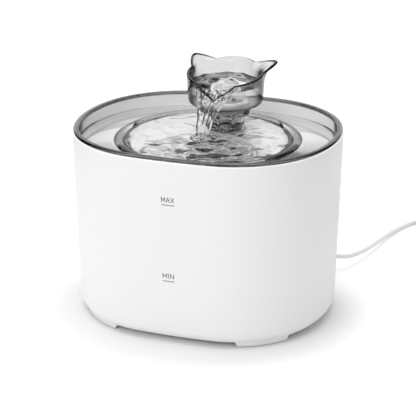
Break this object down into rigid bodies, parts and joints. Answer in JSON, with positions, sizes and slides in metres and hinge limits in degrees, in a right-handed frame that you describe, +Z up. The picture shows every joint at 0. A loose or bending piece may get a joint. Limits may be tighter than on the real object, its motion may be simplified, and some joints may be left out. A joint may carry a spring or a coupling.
{
  "type": "pet water fountain",
  "caption": "Oval tabletop pet drinking fountain: white water tub, clear drinking tray and a swivelling smoked pouring cup fed by a submersible pump and filter.",
  "frame": {"origin": "on the table under the middle of the tub", "axes": "+Z up, +X along the tub's width, -Y towards the front, which carries the level marks and the pouring notch"},
  "size_m": [0.2733, 0.3175, 0.1692],
  "materials": {
    "tub_gloss": "smooth glossy white",
    "white_plastic": "satin white",
    "clear_plastic": "clear, polished",
    "smoke_plastic": "smoked clear, polished",
    "grey_plastic": "satin grey",
    "pump_plastic": "fine matte black",
    "silicone": "soft matte",
    "foam": "open-cell foam",
    "filter_fleece": "fleece over carbon",
    "magnet": "dark ferrite",
    "shaft_steel": "ground steel",
    "cord_jacket": "smooth white jacket",
    "plug_plastic": "satin white",
    "plug_metal": "bright plated steel"
  },
  "bodies": {
    "reservoir": {"tub": "tub_gloss", "base_cover": "white_plastic", "foot_pad_1": "silicone", "foot_pad_2": "silicone", "foot_pad_3": "silicone", "foot_pad_4": "silicone", "cord_grommet": "cord_jacket", "floor_gland": "silicone", "pump_lead": "cord_jacket", "pump_housing": "pump_plastic", "volute_cap": "grey_plastic", "impeller_shaft": "shaft_steel", "pump_suction_1": "silicone", "pump_suction_2": "silicone", "pump_suction_3": "silicone", "pump_suction_4": "silicone", "riser_tube": "silicone", "cord_run": "cord_jacket", "cord_coil": "cord_jacket", "cord_tail": "cord_jacket", "cord_tie": "grey_plastic", "plug_grip": "plug_plastic", "plug_shell": "plug_metal"},
    "impeller": {"impeller_wheel": "white_plastic", "rotor_magnet": "magnet"},
    "intake": {"pump_cover": "pump_plastic", "pump_foam": "foam"},
    "slider": {"flow_slider": "grey_plastic"},
    "deck": {"filter_deck": "white_plastic"},
    "cartridge": {"filter_frame": "white_plastic", "filter_media": "filter_fleece"},
    "tray": {"drinking_tray": "clear_plastic"},
    "stem": {"spout_stem": "smoke_plastic", "stem_seal": "silicone"},
    "cup": {"spout_cup": "smoke_plastic", "cup_hub": "grey_plastic", "cup_diffuser": "smoke_plastic"}
  },
  "joints": [
    {"name": "impeller_spin", "type": "hinge", "parent": "reservoir", "child": "impeller", "pos_m": [-0.004, 0.04, 0.043], "axis": [0, 1, 0], "continuous": true},
    {"name": "intake_pull", "type": "slide", "parent": "reservoir", "child": "intake", "axis": [0, -1, 0], "range_m": [0, 0.03]},
    {"name": "flow_slide", "type": "slide", "parent": "intake", "child": "slider", "axis": [1, 0, 0], "range_m": [-0.0045, 0.0045]},
    {"name": "deck_lift", "type": "slide", "parent": "reservoir", "child": "deck", "axis": [0, 0, 1], "range_m": [0, 0.06]},
    {"name": "cartridge_lift", "type": "slide", "parent": "deck", "child": "cartridge", "axis": [0, 0, 1], "range_m": [0, 0.03]},
    {"name": "tray_lift", "type": "slide", "parent": "cartridge", "child": "tray", "axis": [0, 0, 1], "range_m": [0, 0.05]},
    {"name": "stem_lift", "type": "slide", "parent": "tray", "child": "stem", "axis": [0, 0, 1], "range_m": [0, 0.025]},
    {"name": "cup_swivel", "type": "hinge", "parent": "stem", "child": "cup", "pos_m": [0, 0.038, 0.14], "axis": [0, 0, 1], "continuous": true}
  ]
}
